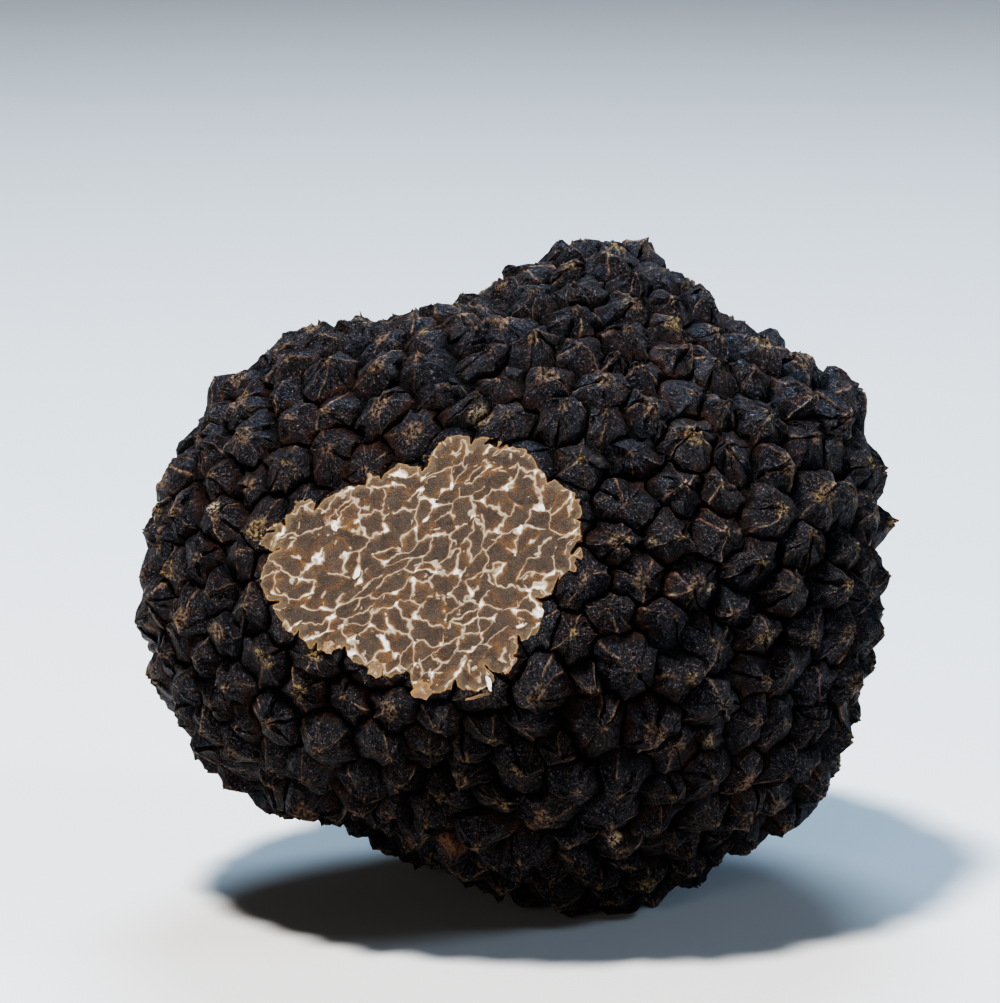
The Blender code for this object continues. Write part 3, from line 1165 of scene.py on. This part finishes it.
def skin_facets(m, at):
    """Near-black facets with a blue tint that is partly painted sheen, pale blue-grey painted
    glints, brown streaks, and worn brown on ridges.
    """
    # The blue tint of these blacks is painted sheen over the near-black skin.
    black = m.mix(m.ramp(at.blotch, 0.35, 0.65), "black", "blue_sheen_black")
    black = m.mix(m.times(at.tone, 0.4), black, "brown_black")
    # Painted glints: pale blue-grey specks where the grit noise is high.
    black = m.mix(m.ramp(at.grit, 0.56, 0.66, 0.0, 0.95), black, "grit")
    masks = m.ramp(at.along, 0.50, 0.68), m.ramp(at.grit, 0.40, 0.6)
    black = m.laid(black, "streak", 0.75, *masks)
    brown = m.mix(m.ramp(at.blotch, 0.4, 0.65), "worn_brown", "worn_pale")
    return m.mix(m.times(at.worn, 0.82), black, brown)


def skin_crusts(m, at, colour):
    """Tan or ochre tips, russet hollows and pale crusts."""
    tips = m.times(m.ramp(at.tip, 0.05, 0.65), m.ramp(at.grit, 0.42, 0.58))
    tan = m.mix(m.ramp(at.tone, 0.72, 0.86), "tip_tan", "tip_ochre")
    colour = m.mix(m.times(tips, 0.9), colour, tan)
    for spot, reach in RUSSET:
        masks = m.nearness(at.place, spot, reach), m.ramp(at.grit, 0.40, 0.54)
        colour = m.laid(colour, "russet", 0.85, *masks)
    for spot, reach in PALE_CRUSTS:
        masks = m.nearness(at.place, spot, reach), m.ramp(at.grit, 0.45, 0.53)
        colour = m.laid(colour, "crust", 0.95, *masks)
    return colour


def skin_clefts(m, at, colour):
    """Soil low on the warts, flecks high up, painted shade in the clefts and cracks, and pale specks
    that are partly painted glints.
    """
    masks = m.ramp(at.relief, 0.50, 0.1), m.ramp(at.patch, 0.46, 0.64)
    colour = m.laid(colour, "soil", 0.75, *masks)
    masks = m.ramp(at.fleck, 0.57, 0.66), m.ramp(at.relief, 0.2, 0.5)
    colour = m.laid(colour, "fleck", 0.8, *masks)
    # Painted shade: low clefts and the insides of cracks are darkened nearly to black.
    cleft_shade = m.larger(m.ramp(at.relief, 0.34, 0.02), m.ramp(at.crack, 0.25, 0.8))
    colour = m.mix(m.times(cleft_shade, 0.86), colour, "cleft_shade")
    # Pale specks in small cells, partly real grains and partly painted glints.
    masks = m.ramp(m.cells(at.place, 1.9), 0.19, 0.09), m.ramp(at.grit, 0.45, 0.6)
    return m.laid(colour, "speck_and_glint", 0.75, *masks)


def skin_material():
    """Dry black skin, worn brown on ridges and tips, with soil in its clefts."""
    m = Shader("skin", SKIN)
    at = skin_fields(m)
    colour = skin_clefts(m, at, skin_crusts(m, at, skin_facets(m, at)))
    roughness = m.plus(m.ramp(at.fleck, 0.35, 0.65, 0.62, 0.22), m.times(at.worn, 0.15))
    lines = m.plus(m.times(at.along, 0.8), m.times(at.across, 0.5))
    height = m.plus(m.plus(lines, m.times(at.grit, 1.1)), m.times(at.fleck, 0.8))
    return m.finished(colour, roughness, 0.46, height, SKIN_BUMP)


# Lights, camera and floor


def add_facing(data, place, ahead):
    """Puts a camera or a lamp in the scene, facing ahead."""
    made = bpy.data.objects.new(data.name, data)
    made.location = place
    made.rotation_mode = "QUATERNION"
    made.rotation_quaternion = ahead.to_track_quat("-Z", "Y")
    bpy.context.scene.collection.objects.link(made)
    return made


def camera():
    """The camera, at the photograph's viewing angle."""
    climb = math.radians(CAMERA_ELEVATION)
    ahead = Vector((0, math.cos(climb), -math.sin(climb)))
    up = Vector((0, math.sin(climb), math.cos(climb)))
    pixel = VIEW_WIDTH / PICTURE_WIDTH
    aim = BODY_CENTRE - Vector((TRUFFLE_RIGHT * pixel, 0, 0)) + up * (TRUFFLE_DOWN * pixel)
    data = bpy.data.cameras.new("camera")
    data.sensor_fit = "HORIZONTAL"
    data.sensor_width = SENSOR_WIDTH
    data.lens = SENSOR_WIDTH * CAMERA_DISTANCE / VIEW_WIDTH
    data.clip_start, data.clip_end = 0.01, 20
    bpy.context.scene.camera = add_facing(data, aim - ahead * CAMERA_DISTANCE, ahead)


def area_light(name, place, width, power, colour):
    """A round lamp that faces the truffle."""
    data = bpy.data.lights.new(name, "AREA")
    data.shape = "DISK"
    data.size = width
    data.energy = power
    data.color = colour
    add_facing(data, place, LIT_SPOT - Vector(place))


def studio():
    """Lamps, faint light from all sides, a plain pale floor and the picture's tones."""
    for name, light in LIGHTS.items():
        area_light(name, *light)
    world = bpy.data.worlds.new("world")
    world.use_nodes = True
    background = world.node_tree.nodes["Background"].inputs
    background["Color"].default_value = (*WORLD_COLOUR, 1)
    background["Strength"].default_value = WORLD_STRENGTH
    bpy.context.scene.world = world
    bpy.ops.mesh.primitive_plane_add(size=FLOOR_SIZE, location=(0, 0, 0))
    floor = bpy.context.active_object
    floor.name = "floor"
    m = Shader("floor", {"pale": FLOOR_COLOUR})
    m.put(m.surface["Base Color"], "pale")
    m.put(m.surface["Roughness"], FLOOR_ROUGHNESS)
    floor.data.materials.append(m.paint)
    view = bpy.context.scene.view_settings
    view.view_transform = "AgX"
    view.look = "AgX - Very High Contrast"
    view.exposure = EXPOSURE


def dress(piece, paint):
    """Gives a piece its material, its body and the node it stands in for."""
    piece.data.materials.append(paint)
    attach(piece, "root")
    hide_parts("truffle")


def build():
    """The studio, and the truffle's skin, flesh and flakes."""
    camera()
    studio()
    skin, outline = skin_piece()
    dress(skin, skin_material())
    marbled = flesh_material()
    dress(flesh_piece(outline), marbled)
    dress(flakes_piece(outline), marbled)


build()
